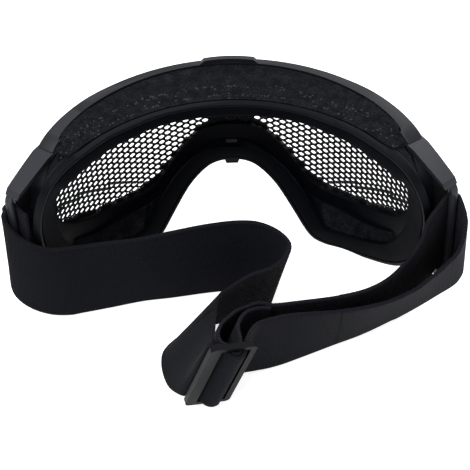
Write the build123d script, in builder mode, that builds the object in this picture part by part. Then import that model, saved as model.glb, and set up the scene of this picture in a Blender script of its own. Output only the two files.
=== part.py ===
"""Mesh safety goggles: curved perforated lens, two-part frame, face seal, pivoting strap clips and an elastic strap.

Millimetres. +Z up, +Y towards the front of the goggles, which stand on their cheek rims and strap.
"""
from build123d import *
from math import cos, hypot, radians, sin
import os

os.makedirs("parts", exist_ok=True)

# Whole frame
frame_height = 80.0
lens_radius = 84.0
front_half_arc = 96.0
face_half_width = 75.0
face_depth = 62.0
head_depth = 100.0
overrun = 30.0

# Fits between pieces
soft_gap = 0.3
rigid_gap = 0.15
lens_gap = 0.25
swing_gap = 0.35

# Perforated lens
lens_thickness = 0.8
lens_inset = 3.2
hole_pitch = 6.2
hole_flats = 4.6
hole_margin = 3.2

# Front bezel
rim_rise = 4.0
rim_round = 0.9
lip_width = 6.0
lip_rise = 2.4
skirt_depth = 3.2
skirt_thickness = 2.6
brow_tab_half = 13.0
brow_tab_rise = 2.0
brow_tab_taper = 3.0
brow_tab_thickness = 1.9

# Rear frame
wall = 2.2
brow_wall = 5.0
seat_width = 8.0
seat_thickness = 2.0
bead_width = 1.6
flange_width = 5.4
flange_thickness = 1.2
recess_depth = 3.0
recess_sweep = 50.0
tongue_wall = 1.5
recess_round = 4.0
vent_rib = 2.6
vent_count = 9
vent_length = 11.0
vent_sweep = 70.0
slot_length = 9.0
slot_width = 3.6
bridge_slot_length = 4.4
bridge_slot_width = 1.6
nose_tab_width = 6.4
nose_tab_taper = 0.8
nose_tab_reach = 2.0

# Face seal and vent foams
seal_thickness = 1.8
foam_thickness = 2.5

# Strap clips and their pivots
pin_fit = 0.02
pin_play = 0.06
pivot_arc = 84.0
pivot_rise = 2.0
pivot_radius = 0.9
pivot_depth = 3.4
boss_radius = 1.8
clip_reach = 26.5
clip_inner = 5.5
clip_outer = 2.2
clip_end_outer = 0.3
clip_crown = 0.4
clip_heading = -52.3
clip_skin = 2.2
clip_flange = 3.0
clip_top = 75.0
clip_bottom = 14.0
clip_end_drop = 5.0
clip_end_lift = 1.5
clip_end_cut = 5.0
clip_end_facet = 6.0
tongue_radius = 4.3
skin_start = 2.6
skin_relief = 1.0
slot_room = 0.6
strap_bar_reach = 23.1
strap_bar_inset = 0.7
strap_bar_radius = 1.7

# Strap
strap_width = 40.0
strap_thickness = 1.4
strap_base = 20.0
strap_spread = 55.0

# Tri-glide
glide_bar_gap = 5.9
glide_left_bar = 4.4
glide_right_bar = 2.4
glide_center_radius = 0.9
glide_thickness = 2.4
glide_rail = 2.2
glide_side_room = 0.4
glide_round = 2.0
glide_base = 1.0

# Outline of the frame's front edge, nose to cheek to temple to brow: shares of front_half_arc and frame_height
front_edge_shares = [
    (0.00, 0.51), (0.09, 0.49), (0.19, 0.36), (0.28, 0.21), (0.39, 0.13), (0.52, 0.12), (0.69, 0.15), (0.86, 0.25),
    (0.96, 0.38), (1.00, 0.54), (0.99, 0.70), (0.94, 0.88), (0.84, 0.97), (0.65, 1.00), (0.50, 1.00), (0.33, 1.00),
    (0.17, 1.00), (0.00, 1.00),
]
# Outline of the rear edge, that meets the face: shares of face_half_width, face_depth and frame_height
rear_edge_shares = [
    (0.00, 0.19, 0.46), (0.12, 0.21, 0.44), (0.24, 0.27, 0.33), (0.35, 0.35, 0.15), (0.44, 0.42, 0.03),
    (0.59, 0.48, -0.01), (0.75, 0.60, 0.01), (0.89, 0.77, 0.11), (0.97, 0.92, 0.31), (1.00, 0.98, 0.53),
    (0.99, 1.00, 0.73), (0.93, 0.97, 0.91), (0.83, 0.84, 0.98), (0.64, 0.63, 1.00), (0.51, 0.53, 1.00), (0.37, 0.44, 1.00),
    (0.19, 0.38, 1.00), (0.00, 0.36, 1.00),
]
# Centre of the rim's inner arc behind the lens, as a share of its radius
rim_arc_share = 0.93
# The recess runs on past the clips' tongues over these shares of the wall, from front to rear
corner_shares = (0.27, 0.85)
# Places of the outline that the recess's corner channel passes
corner_places = range(22, 26)
# Places of the lower vents, and of the foam pad behind them
vent_places = (9, 11, 13)
pad_places = range(8, 15)
# Cheek foam keeps these shares of the wall free at its front and rear
cheek_shares = (0.20, 0.47)
# Lie of the tri-glide: its place as shares of the right clip's bar and strap_spread, its run and its face
glide_place_share = (-0.057, 1.01)
glide_run_share = (0.93, 0.28, -0.23)
glide_face_share = (0.24, -0.95, -0.20)
# The strap's cross-lines: lower end as shares of the clip bar's x, of strap_spread behind it and of strap_base, then lean
left_tail_shares = [(0.925, 0.065, 1.0, 0, 0), (0.95, 0.03, 1.0, 0, 0)]
left_wrap = [150, 120, 90, 60, 30, 0, -30]
left_run_shares = [
    (-1.042, 0.050, 1.00, 0.02, -0.02), (-1.038, 0.080, 0.66, 0.10, -0.04), (-0.985, 0.112, 0.38, 0.15, -0.03),
    (-0.873, 0.133, 0.15, 0.10, 0.02),
    (-0.719, 0.088, 0.00, 0.03, 0.05), (-0.605, 0.051, 0.00, 0.02, 0.03), (-0.439, -0.008, 0.00, 0.00, -0.01),
    (-0.309, -0.031, 0.00, -0.02, 0.02), (-0.088, -0.078, 0.00, -0.05, 0.06), (0.037, -0.082, 0.00, -0.01, 0.09),
    (0.108, -0.030, 0.00, 0.04, 0.14), (0.151, 0.048, 0.00, 0.13, 0.14), (0.149, 0.130, 0.00, 0.24, 0.11),
    (0.125, 0.179, 0.00, 0.27, 0.04), (0.068, 0.190, 0.00, 0.26, -0.09), (-0.051, 0.210, 0.00, 0.28, -0.16),
    (-0.188, 0.277, 0.00, 0.38, -0.18), (-0.290, 0.390, 0.00, 0.49, -0.10), (-0.338, 0.492, 0.00, 0.55, -0.08),
    (-0.344, 0.590, 0.03, 0.55, -0.11), (-0.330, 0.721, 0.07, 0.51, -0.12), (-0.300, 0.850, 0.18, 0.44, -0.12),
]
glide_entry_shares = [(-1.75, -0.44), (-1.45, -0.44)]
glide_pass_shares = [
    (-1.38, -0.44), (-1.19, -0.44), (-0.88, -0.39), (-0.73, -0.14), (-0.60, 0.22), (-0.37, 0.52), (0.00, 0.64),
    (0.37, 0.52), (0.60, 0.22), (0.73, -0.14), (0.88, -0.39), (1.19, -0.44), (1.53, -0.46),
]
right_run_shares = [
    (0.157, 0.671, 0.07, 0.05, -0.14), (0.251, 0.589, 0.03, 0.01, -0.18), (0.465, 0.437, 0.00, 0.05, -0.32),
    (0.585, 0.355, 0.00, 0.06, -0.37), (0.706, 0.253, 0.00, 0.00, -0.43), (0.851, 0.153, 0.15, -0.06, -0.47),
    (0.957, 0.078, 0.30, -0.15, -0.49), (1.038, 0.037, 0.50, -0.16, -0.46), (1.062, 0.030, 0.70, -0.09, -0.40),
    (1.065, 0.045, 0.93, -0.03, -0.19),
]
right_wrap = [0, 30, 60, 90, 120, 140]
right_return_shares = [
    (0.952, 0.022, 1.00, -0.06, -0.09), (0.938, 0.036, 1.00, -0.10, -0.17), (0.910, 0.051, 0.64, -0.12, -0.25),
    (0.849, 0.076, 0.25, -0.10, -0.28), (0.727, 0.140, 0.00, -0.04, -0.33), (0.605, 0.231, 0.00, 0.01, -0.34),
    (0.477, 0.340, 0.00, 0.03, -0.28), (0.291, 0.450, 0.00, 0.03, -0.20), (0.163, 0.540, 0.03, 0.04, -0.15),
    (0.090, 0.620, 0.08, 0.10, -0.12),
]
glide_loop_shares = [
    (2.37, -1.20), (1.36, -1.19), (0.71, -1.12), (0.32, -0.78), (0.00, -0.47), (-0.24, -0.24), (-0.34, 0.00),
    (-0.24, 0.24), (0.00, 0.34), (0.24, 0.24), (0.34, 0.00), (0.40, -0.29), (0.58, -0.61), (1.02, -0.80), (1.86, -0.86),
]
# Width of the face seal at each of these places, as shares of its widest, at the temples
seal_width = 12.0
seal_width_shares = [0.60, 0.65, 0.70, 0.75, 0.80, 0.80, 0.85, 0.90, 1.00, 1.00, 1.00, 0.95, 0.80, 0.65, 0.59,
                     0.55, 0.55, 0.55]
# How much of the extra brow wall each place has
brow_shares = [0.0, 0.0, 0.0, 0.0, 0.0, 0.0, 0.0, 0.0, 0.0, 0.0, 0.0, 0.8, 1.0, 1.0, 1.0, 1.0, 1.0, 1.0]


def front_point(arc, height, rise=0):
    """Point at an arc length along the lens, at a height and a rise off its front surface"""
    angle = arc / lens_radius
    radius = lens_radius + rise
    return Vector(radius * sin(angle), radius * cos(angle) - lens_radius, height)


def radial(point):
    return Vector(point.X, point.Y + lens_radius, 0).normalized()


def direction_along(points, place):
    """Run of a half outline at one of its points, where the other half mirrors it at both ends"""
    before = points[place - 1] if place else Vector(-points[1].X, points[1].Y, points[1].Z)
    last = points[-2]
    after = points[place + 1] if place + 1 < len(points) else Vector(-last.X, last.Y, last.Z)
    return (after - before).normalized()


def square_to(vector, axis):
    return (vector - axis * vector.dot(axis)).normalized()


def refined(before, rows, after):
    """Rows with one more between each two, by the four-point rule, given the rows beyond both ends"""
    whole = [before, *rows, after]
    finer = []
    for place in range(len(rows) - 1):
        around = zip(*whole[place:place + 4])
        finer += [rows[place], tuple((9 * (b + c) - a - d) / 16 for a, b, c, d in around)]
    return finer + [rows[-1]]


def mirrored(row):
    return (-row[0], *row[1:])


def outline_rows(rows):
    """Refined rows of a half outline, whose first column changes sign in the other half"""
    return refined(mirrored(rows[1]), rows, mirrored(rows[-2]))


# A nought stands before measures that don't change sign
seal_widths = [share * seal_width for nought, share in outline_rows([(0, share) for share in seal_width_shares])]
brow_walls = [share for nought, share in outline_rows([(0, share) for share in brow_shares])]
front_edge = [front_point(a * front_half_arc, z * frame_height) for a, z in outline_rows(front_edge_shares)]
rear_edge = [Vector(x * face_half_width, -y * face_depth, z * frame_height) for x, y, z in outline_rows(rear_edge_shares)]
places = range(len(front_edge))

# Planes across the front edge: local x outward from the lens, local y into the window
front_planes = []
# Planes across the rear edge: local x forward from the face, local y into the window
rear_planes = []
for place in places:
    outward = radial(front_edge[place])
    run = square_to(direction_along(front_edge, place), outward)
    front_planes.append(Plane(front_edge[place], x_dir=outward, z_dir=run))
    forward = Vector(rear_edge[place].X, rear_edge[place].Y + head_depth, 0).normalized()
    rear_run = square_to(direction_along(rear_edge, place), forward)
    rear_planes.append(Plane(rear_edge[place], x_dir=forward, z_dir=rear_run))


def on_front(place, outward, inward):
    """Point at a rise off the lens surface, measured inward along it from the front edge"""
    point = front_edge[place] + front_planes[place].y_dir * inward
    return point + radial(point) * (lens_radius + outward - hypot(point.X, point.Y + lens_radius))


def on_rear(place, forward, inward):
    return rear_planes[place].from_local_coords(Vector(forward, inward, 0))


def skin(profiles):
    """Flat triangles between closed profiles that follow each other along the outline"""
    faces = []
    for near, far in zip(profiles, profiles[1:]):
        for place in range(len(near)):
            after = (place + 1) % len(near)
            faces.append(Face(Wire.make_polygon([near[place], near[after], far[after]], close=True)))
            faces.append(Face(Wire.make_polygon([near[place], far[after], far[place]], close=True)))
    return faces


def band(profiles):
    """Band through closed profiles of four corners, closed at both ends"""
    faces = skin(profiles)
    for end in (profiles[0], profiles[-1]):
        faces.append(Face(Wire.make_polygon([end[0], end[1], end[2]], close=True)))
        faces.append(Face(Wire.make_polygon([end[0], end[2], end[3]], close=True)))
    return Solid(Shell(faces))


def ring(profiles):
    """Closed band round the whole outline: the right half and its mirror image"""
    half = skin(profiles)
    return Solid(Shell(half + [face.mirror(Plane.YZ) for face in half]))


# Strap clip in its own plane: local x along the clip from its pivot, local y outward
pivot = front_point(pivot_arc, 0, pivot_rise)
clip_plane = Plane(pivot, x_dir=(cos(radians(clip_heading)), sin(radians(clip_heading)), 0))
clip_side = Plane(pivot + clip_plane.y_dir * overrun, x_dir=clip_plane.x_dir, z_dir=-clip_plane.y_dir)
lens_axis = clip_plane.to_local_coords(Vector(0, -lens_radius, 0))
slot_start = strap_bar_reach - strap_bar_radius - strap_thickness - slot_room


def clip_plan(grow):
    """Outline from above: the round tongue at the pivot and the strip behind it"""
    middle = (clip_reach / 2, (clip_outer + clip_end_outer) / 2 + clip_crown + grow)
    with BuildSketch(clip_plane) as plan:
        Circle(tongue_radius + grow)
        with Locations(lens_axis):
            Circle(lens_radius + rim_rise + grow, mode=Mode.INTERSECT)
        with BuildLine():
            Line((-grow, clip_outer + grow), (-grow, -clip_inner - grow))
            Line((-grow, -clip_inner - grow), (clip_reach - rim_rise / 2, -clip_inner - grow))
            Line((clip_reach - rim_rise / 2, -clip_inner - grow), (clip_reach + grow, -clip_inner + rim_rise / 2))
            Line((clip_reach + grow, -clip_inner + rim_rise / 2), (clip_reach + grow, clip_end_outer + grow))
            ThreePointArc((clip_reach + grow, clip_end_outer + grow), middle, (-grow, clip_outer + grow))
        make_face()
    return plan.sketch


def clip_heights(grow):
    """Outline from the side, which narrows to the rear end"""
    with BuildSketch(clip_side) as heights:
        with BuildLine():
            Polyline(
                (-overrun, clip_bottom - grow), (-overrun, clip_top + grow), (tongue_radius, clip_top + grow),
                (clip_reach - clip_end_cut, clip_top - clip_end_drop + grow),
                (clip_reach + grow, clip_top - clip_end_drop - clip_end_facet + grow),
                (clip_reach + grow, strap_base - slot_room),
                (clip_reach - clip_end_cut, clip_bottom + clip_end_lift - grow), close=True)
        make_face()
    return heights.sketch


def clip_hollow(grow):
    """Side outline of the space between the clip's two flanges"""
    with BuildSketch(clip_side) as hollow:
        with BuildLine():
            Polyline(
                (-overrun, clip_bottom + clip_flange + grow), (-overrun, clip_top - clip_flange - grow),
                (tongue_radius, clip_top - clip_flange - grow),
                (clip_reach + overrun, strap_base + strap_width + slot_room - grow),
                (clip_reach + overrun, strap_base - slot_room + grow),
                (clip_reach, strap_base - slot_room + grow),
                (tongue_radius, clip_bottom + clip_flange + grow), close=True)
        make_face()
    return hollow.sketch


def clip_shell(grow, start):
    """Two flanges and the skin that joins them on the outer side, from a start behind the pivot"""
    with BuildPart() as flanges:
        extrude(clip_plan(grow), amount=frame_height + overrun)
        extrude(clip_heights(grow), amount=2 * overrun, mode=Mode.INTERSECT)
        extrude(clip_hollow(grow), amount=2 * overrun, mode=Mode.SUBTRACT)
    with BuildPart() as skin:
        extrude(clip_plan(grow), amount=frame_height + overrun)
        with BuildSketch(clip_plane):
            with Locations(((start + slot_start + grow) / 2, clip_outer - clip_skin - grow + overrun / 2)):
                Rectangle(slot_start + grow - start, overrun)
        extrude(amount=frame_height + overrun, mode=Mode.INTERSECT)
        extrude(clip_heights(grow), amount=2 * overrun, mode=Mode.INTERSECT)
    with BuildPart() as shell:
        add(flanges.part)
        add(skin.part)
    return shell.part


clip_space = clip_shell(swing_gap, skin_start - skin_relief)

# Section of the rear frame: lens seat, wall and rear flange with its bead
seat_face = lens_thickness + lens_gap
skirt_back = skirt_depth + rigid_gap
root_back = skirt_back + wall / 2
flange_back = seal_thickness + soft_gap
flange_front = flange_back + flange_thickness


def wall_inner(place):
    """Inner surface of the wall: its front and rear ends and the direction into the goggles"""
    front = on_front(place, -root_back, wall)
    rear = on_rear(place, flange_front, flange_width)
    inward = front_planes[place].y_dir + rear_planes[place].y_dir
    return front, rear, square_to(inward, (rear - front).normalized())


def wall_slot(place, length, width):
    """Slot along the outline, square through the middle of the wall"""
    front, rear, inward = wall_inner(place)
    across = (rear - front).normalized()
    with BuildPart() as slot:
        with BuildSketch(Plane((front + rear) / 2 - inward * overrun / 4, x_dir=across.cross(inward), z_dir=inward)):
            SlotOverall(length, width)
        extrude(amount=overrun / 2)
    return slot.part


# Brow recess between the bezel's rim and the rear rim: two arcs seen from above
recess_floor = frame_height - recess_depth
rim_arc_center = rim_arc_share * lens_radius
rim_arc_radius = rim_arc_center + rim_rise / 4
rear_arc_center = head_depth
rear_arc_radius = head_depth - rear_edge_shares[-1][1] * face_depth + seal_thickness + flange_thickness / 2
band_middle = (rim_arc_radius - rim_arc_center + rear_arc_radius - rear_arc_center) / 2


def brow_outline(height, inset):
    """Crescent between the two arcs at a height, drawn in by an inset"""
    with BuildSketch(Plane.XY.offset(height)) as crescent:
        with Locations((0, -rim_arc_center)):
            Circle(rim_arc_radius - inset)
        with Locations((0, -rear_arc_center)):
            Circle(rear_arc_radius + inset, mode=Mode.SUBTRACT)
        side = Vector(0, head_depth, 0).rotate(Axis.Z, recess_sweep)
        with BuildLine():
            Polyline((0, -rear_arc_center - inset), side - (inset, rear_arc_center), (0, head_depth),
                     (inset - side.X, side.Y - rear_arc_center), close=True)
        make_face(mode=Mode.INTERSECT)
        fillet(crescent.vertices(), recess_round)
    return crescent.sketch


def corner_channel(floor, ceiling, inset):
    """Length of the recess that follows the wall down past a clip's tongue, between two depths"""
    near, far = corner_shares
    profiles = []
    for place in corner_places:
        front = on_front(place, -skirt_back, 0)
        rear = on_rear(place, flange_front, 0)
        inward = square_to(front_planes[place].y_dir + rear_planes[place].y_dir, (rear - front).normalized())
        start = front + (rear - front) * near + (rear - front).normalized() * inset
        end = front + (rear - front) * far - (rear - front).normalized() * inset
        if place == corner_places[0]:
            shift = rear_planes[place].z_dir * inset
        elif place == corner_places[-1]:
            shift = -rear_planes[place].z_dir * inset
        else:
            shift = Vector()
        start += shift
        end += shift
        profiles.append([start + inward * floor, end + inward * floor, end + inward * ceiling, start + inward * ceiling])
    return band(profiles)


def recess(floor, ceiling, inset):
    """Whole recess between two depths, drawn in by an inset: the crescent and a channel at either end"""
    with BuildPart() as space:
        extrude(brow_outline(frame_height - floor, inset), amount=floor - ceiling)
        channel = corner_channel(floor, ceiling, inset)
        add(channel)
        mirror(channel, about=Plane.YZ)
        tongue = extrude(clip_plan(swing_gap + tongue_wall + inset), amount=frame_height + overrun)
        add(tongue, mode=Mode.SUBTRACT)
        mirror(tongue, about=Plane.YZ, mode=Mode.SUBTRACT)
    return space.part


brow_space = recess(recess_depth, -overrun / 2, 0)


def brow_tab():
    """Low tapered tab over the brow that follows the rim's curve"""
    tab_radius = lens_radius + rim_rise - rim_round
    with BuildPart() as tab:
        with BuildSketch(Plane.XY.offset(frame_height - brow_tab_rise)):
            with Locations((0, -lens_radius)):
                Circle(tab_radius)
                Circle(tab_radius - brow_tab_thickness, mode=Mode.SUBTRACT)
        extrude(amount=2 * brow_tab_rise)
        with BuildSketch(Plane.XZ.offset(-overrun)) as side:
            with BuildLine():
                Polyline((-brow_tab_half, 0), (-brow_tab_half, frame_height),
                         (brow_tab_taper - brow_tab_half, frame_height + brow_tab_rise),
                         (brow_tab_half - brow_tab_taper, frame_height + brow_tab_rise),
                         (brow_tab_half, frame_height), (brow_tab_half, 0), close=True)
            make_face()
        extrude(side.sketch, amount=2 * overrun, mode=Mode.INTERSECT)
    return tab.part


tab = brow_tab()

# Front bezel: L-shaped rim with its lip, brow tab and the bosses that carry the clips' pivots
upper_seat = clip_top - clip_flange - swing_gap
lower_seat = clip_bottom + clip_flange + swing_gap
boss_depth = pivot_depth + boss_radius
with BuildPart() as front_bezel:
    corners = [(-skirt_depth, 0), (rim_rise - rim_round, 0), (rim_rise, rim_round),
               (rim_rise, skirt_thickness + rim_round), (lip_rise, lip_width), (lens_gap, lip_width),
               (lens_gap, skirt_thickness), (-skirt_depth, skirt_thickness)]
    add(ring([[on_front(place, *corner) for corner in corners] for place in places]))
    split(bisect_by=Plane.XY.offset(frame_height), keep=Keep.BOTTOM)
    add(brow_space, mode=Mode.SUBTRACT)
    add(clip_space, mode=Mode.SUBTRACT)
    mirror(clip_space, about=Plane.YZ, mode=Mode.SUBTRACT)
    add(tab)
    for x in (-pivot.X, pivot.X):
        for bottom in (upper_seat - boss_depth, lower_seat):
            with Locations((x, pivot.Y, bottom)):
                Cylinder(boss_radius, boss_depth, align=(Align.CENTER, Align.CENTER, Align.MIN))
        for bottom in (upper_seat - pivot_depth, lower_seat):
            with Locations((x, pivot.Y, bottom)):
                Cylinder(pivot_radius + pin_fit, pivot_depth, align=(Align.CENTER, Align.CENTER, Align.MIN),
                         mode=Mode.SUBTRACT)

# Lower vents through the cheek walls and the small slot over the nose
cheek_slots = [wall_slot(place, slot_length, slot_width) for place in vent_places]
nose_slot = wall_slot(0, bridge_slot_length, bridge_slot_width)

# Rear frame in one moulding
with BuildPart() as frame_body:
    profiles = []
    for place in places:
        thickness = wall + brow_walls[place] * (brow_wall - wall)
        seat = [(-seat_face, skirt_thickness + rigid_gap), (-seat_face, seat_width),
                (-seat_face - seat_thickness, seat_width), (-root_back, thickness)]
        flange = [(flange_front, flange_width), (flange_back, flange_width), (flange_back, bead_width),
                  (0, bead_width), (0, 0), (flange_front, 0)]
        root = [(-skirt_back, 0), (-skirt_back, skirt_thickness + rigid_gap)]
        profiles.append([on_front(place, *corner) for corner in seat] + [on_rear(place, *corner) for corner in flange]
                        + [on_front(place, *corner) for corner in root])
    add(ring(profiles))
    split(bisect_by=Plane.XY.offset(frame_height), keep=Keep.BOTTOM)
    split(bisect_by=Plane.XY, keep=Keep.TOP)
    # Nose tab under the rear rim
    with BuildSketch(Plane.XZ.offset(-rear_edge[0].Y)) as nose_tab:
        top = rear_edge[0].Z + bead_width / 2
        with BuildLine():
            Polyline((-nose_tab_width / 2, top), (nose_tab_width / 2, top),
                     (nose_tab_width / 2 - nose_tab_taper, rear_edge[0].Z - nose_tab_reach),
                     (nose_tab_taper - nose_tab_width / 2, rear_edge[0].Z - nose_tab_reach), close=True)
        make_face()
    extrude(nose_tab.sketch, amount=-flange_front)
    # Brow recess with its row of vents
    add(brow_space, mode=Mode.SUBTRACT)
    vent_step = radians(vent_sweep / (vent_count - 1)) * (rear_arc_center + band_middle)
    with BuildSketch(Plane.XY.offset(recess_floor - brow_wall)):
        with Locations((0, -rear_arc_center)):
            with PolarLocations(rear_arc_center + band_middle, vent_count, 90 - vent_sweep / 2, vent_sweep, endpoint=True):
                Rectangle(vent_length, vent_step - vent_rib)
    extrude(amount=brow_wall + rim_rise, mode=Mode.SUBTRACT)
    for slot in cheek_slots:
        add(slot, mode=Mode.SUBTRACT)
        mirror(slot, about=Plane.YZ, mode=Mode.SUBTRACT)
    add(nose_slot, mode=Mode.SUBTRACT)
    add(clip_space, mode=Mode.SUBTRACT)
    mirror(clip_space, about=Plane.YZ, mode=Mode.SUBTRACT)

# Perforated lens: a sheet bent in flat strips, one for each column of hexagonal holes
column_step = hole_pitch * cos(radians(30))
columns = int(front_half_arc / column_step)
edges = [(column - 1 / 2) * column_step for column in range(-columns, columns + 2)]
bends = [front_point(arc, 0) for arc in edges]
inner_bends = [front_point(arc, 0, -lens_thickness) for arc in edges]
with BuildSketch() as window:
    with BuildLine():
        outline = [(a * front_half_arc, z * frame_height) for a, z in outline_rows(front_edge_shares)]
        Polyline(*outline, *[(-a, z) for a, z in reversed(outline[1:-1])], close=True)
    make_face()
    offset(amount=-lip_width - hole_margin)
opening = window.sketch.faces()[0]
with BuildPart() as blank:
    with BuildSketch():
        with BuildLine():
            Polyline(*bends, *reversed(inner_bends), close=True)
        make_face()
    extrude(amount=frame_height)
    moat = [(-2 * lens_thickness, -rim_rise), (rim_rise, -rim_rise), (rim_rise, lens_inset),
            (-2 * lens_thickness, lens_inset)]
    add(ring([[on_front(place, *corner) for corner in moat] for place in places]), mode=Mode.SUBTRACT)
    add(clip_space, mode=Mode.SUBTRACT)
    mirror(clip_space, about=Plane.YZ, mode=Mode.SUBTRACT)
with BuildPart() as mesh_lens:
    add(blank.solids().sort_by(SortBy.VOLUME)[-1])
    cells = []
    for column in range(-columns, columns + 1):
        for row in range(int(frame_height / hole_pitch)):
            arc = column * column_step
            height = (row + column % 2 / 2) * hole_pitch
            if opening.is_inside(Vector(arc, height, 0)):
                place = front_point(arc, height, lens_thickness)
                with BuildSketch(Plane(place, x_dir=radial(place).cross(Vector(0, 0, 1)), z_dir=-radial(place))) as cell:
                    RegularPolygon(hole_flats / 2, 6, major_radius=False)
                cells.append(extrude(cell.sketch, amount=3 * lens_thickness, mode=Mode.PRIVATE))
    add(cells, mode=Mode.SUBTRACT)

# Face seal, a soft band glued inside the rear bead
seal_inner = bead_width + soft_gap
with BuildPart() as face_seal:
    profiles = []
    for place in places:
        width = seal_widths[place]
        corners = [(0, seal_inner), (0, width), (seal_thickness, width), (seal_thickness, flange_width),
                   (seal_thickness, seal_inner)]
        profiles.append([on_rear(place, *corner) for corner in corners])
    add(ring(profiles))
    split(bisect_by=Plane.XY, keep=Keep.TOP)

# Foam in the brow recess and its two corner channels
foam = recess(recess_depth - soft_gap, recess_depth - soft_gap - foam_thickness, 3 * soft_gap)
with BuildPart() as brow_vent_foam:
    add(foam)

# Foam pads over the lower vents, on the inner side of the cheek walls
with BuildPart() as cheek_vent_foam_right:
    profiles = []
    for place in pad_places:
        front, rear, inward = wall_inner(place)
        start = front + (rear - front) * cheek_shares[0]
        end = rear + (front - rear) * cheek_shares[1]
        low = inward * soft_gap
        high = inward * (soft_gap + foam_thickness)
        profiles.append([start + low, end + low, end + high, start + high])
    add(band(profiles))
with BuildPart() as cheek_vent_foam_left:
    mirror(cheek_vent_foam_right.part, about=Plane.YZ)

# Strap clips: shell, bar for the strap and the hole of the two pivots
shell = clip_shell(0, skin_start)
bar_point = clip_plane.from_local_coords(Vector(strap_bar_reach, -strap_bar_inset, 0))
with BuildPart() as strap_clip_right:
    with Locations(bar_point):
        Cylinder(strap_bar_radius, frame_height, align=(Align.CENTER, Align.CENTER, Align.MIN))
    extrude(clip_heights(-clip_flange / 2), amount=2 * overrun, mode=Mode.INTERSECT)
    add(shell)
    with Locations(pivot):
        Cylinder(pivot_radius + pin_play, 2 * frame_height, mode=Mode.SUBTRACT)
with BuildPart() as strap_clip_left:
    mirror(strap_clip_right.part, about=Plane.YZ)

# Pivot pins, two to a clip
pin_length = clip_flange + swing_gap + pivot_depth - pin_fit
with BuildPart() as pivot_pin_right_upper:
    with Locations((pivot.X, pivot.Y, clip_top - pin_length)):
        Cylinder(pivot_radius, pin_length, align=(Align.CENTER, Align.CENTER, Align.MIN))
with BuildPart() as pivot_pin_right_lower:
    with Locations((pivot.X, pivot.Y, clip_bottom)):
        Cylinder(pivot_radius, pin_length, align=(Align.CENTER, Align.CENTER, Align.MIN))
with BuildPart() as pivot_pin_left_upper:
    mirror(pivot_pin_right_upper.part, about=Plane.YZ)
with BuildPart() as pivot_pin_left_lower:
    mirror(pivot_pin_right_lower.part, about=Plane.YZ)

# Tri-glide in its own plane: local x along the strap, local y along the bars, local z towards the rear
glide_half = strap_width / 2 + glide_side_room
glide_run = Vector(*glide_run_share)
glide_face = square_to(Vector(*glide_face_share), glide_run.normalized())
glide_low = glide_half + glide_rail
glide_tilt = Plane((0, 0, 0), x_dir=glide_run.normalized(), z_dir=glide_face)
glide_drop = glide_low * glide_tilt.y_dir.Z - (glide_bar_gap + glide_right_bar) * glide_tilt.x_dir.Z
glide_center = Vector(glide_place_share[0] * bar_point.X, bar_point.Y - glide_place_share[1] * strap_spread,
                      glide_base + glide_drop)
glide_plane = Plane(glide_center, x_dir=glide_tilt.x_dir, z_dir=glide_tilt.z_dir)
with BuildPart() as tri_glide:
    with BuildSketch(glide_plane.offset(-glide_thickness / 2)) as ladder:
        middle = (glide_right_bar - glide_left_bar) / 2
        with Locations((middle, 0)):
            RectangleRounded(2 * glide_bar_gap + glide_left_bar + glide_right_bar, 2 * glide_low, glide_round)
        Rectangle(2 * glide_bar_gap, 2 * glide_half, mode=Mode.SUBTRACT)
    extrude(amount=glide_thickness)
    center_bar = Plane(glide_plane.origin - glide_plane.y_dir * glide_half, x_dir=glide_plane.x_dir, z_dir=glide_plane.y_dir)
    with BuildSketch(center_bar):
        Circle(glide_center_radius)
    extrude(amount=2 * glide_half)


def cross_lines(rows):
    """Lower ends and directions of the strap's cross-lines from rows of shares"""
    lines = []
    for x, y, z, lean_x, lean_y in rows:
        low = Vector(x * bar_point.X, bar_point.Y - y * strap_spread, z * strap_base)
        lines.append((low, Vector(lean_x, lean_y, (1 - lean_x**2 - lean_y**2) ** 0.5)))
    return lines


def glide_lines(rows):
    """Cross-lines that pass through the tri-glide, from rows of shares of its bar gap"""
    lines = []
    for x, z in rows:
        middle = glide_plane.from_local_coords(Vector(x, 0, z) * glide_bar_gap)
        lines.append((middle - glide_plane.y_dir * strap_width / 2, glide_plane.y_dir))
    return lines


def bar_lines(angles):
    """Upright cross-lines round the right clip's bar at these angles"""
    reach = strap_bar_radius + soft_gap + strap_thickness / 2
    return [(bar_point + Vector(reach * cos(radians(a)), reach * sin(radians(a)), strap_base), Vector(0, 0, 1)) for a in angles]


def ribbon(lines):
    """Strap of even width and thickness through cross-lines"""
    rows = [(*low, *lean) for low, lean in lines]
    before = tuple(2 * a - b for a, b in zip(rows[0], rows[1]))
    after = tuple(2 * a - b for a, b in zip(rows[-1], rows[-2]))
    fine = [(Vector(*row[:3]), Vector(*row[3:]).normalized()) for row in refined(before, rows, after)]
    middles = [low + lean * strap_width / 2 for low, lean in fine]
    profiles = []
    for place, (low, lean) in enumerate(fine):
        run = middles[min(place + 1, len(fine) - 1)] - middles[max(place - 1, 0)]
        face = run.cross(lean).normalized() * strap_thickness / 2
        high = low + lean * strap_width
        profiles.append([low - face, low + face, high + face, high - face])
    return band(profiles)


# Strap from its sewn loop at the left clip to the tri-glide; x is mirrored at the loop
left_loop = [(Vector(-low.X, low.Y, low.Z), lean) for low, lean in cross_lines(left_tail_shares) + bar_lines(left_wrap)]
with BuildPart() as strap_left:
    add(ribbon(left_loop + cross_lines(left_run_shares) + glide_lines(glide_entry_shares)))
    split(bisect_by=Plane.XY, keep=Keep.TOP)

# Strap from the tri-glide round the right clip's bar and back to its sewn loop on the tri-glide
with BuildPart() as strap_right:
    add(ribbon(glide_lines(glide_pass_shares) + cross_lines(right_run_shares) + bar_lines(right_wrap)
               + cross_lines(right_return_shares) + glide_lines(glide_loop_shares)))
    split(bisect_by=Plane.XY, keep=Keep.TOP)

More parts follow.
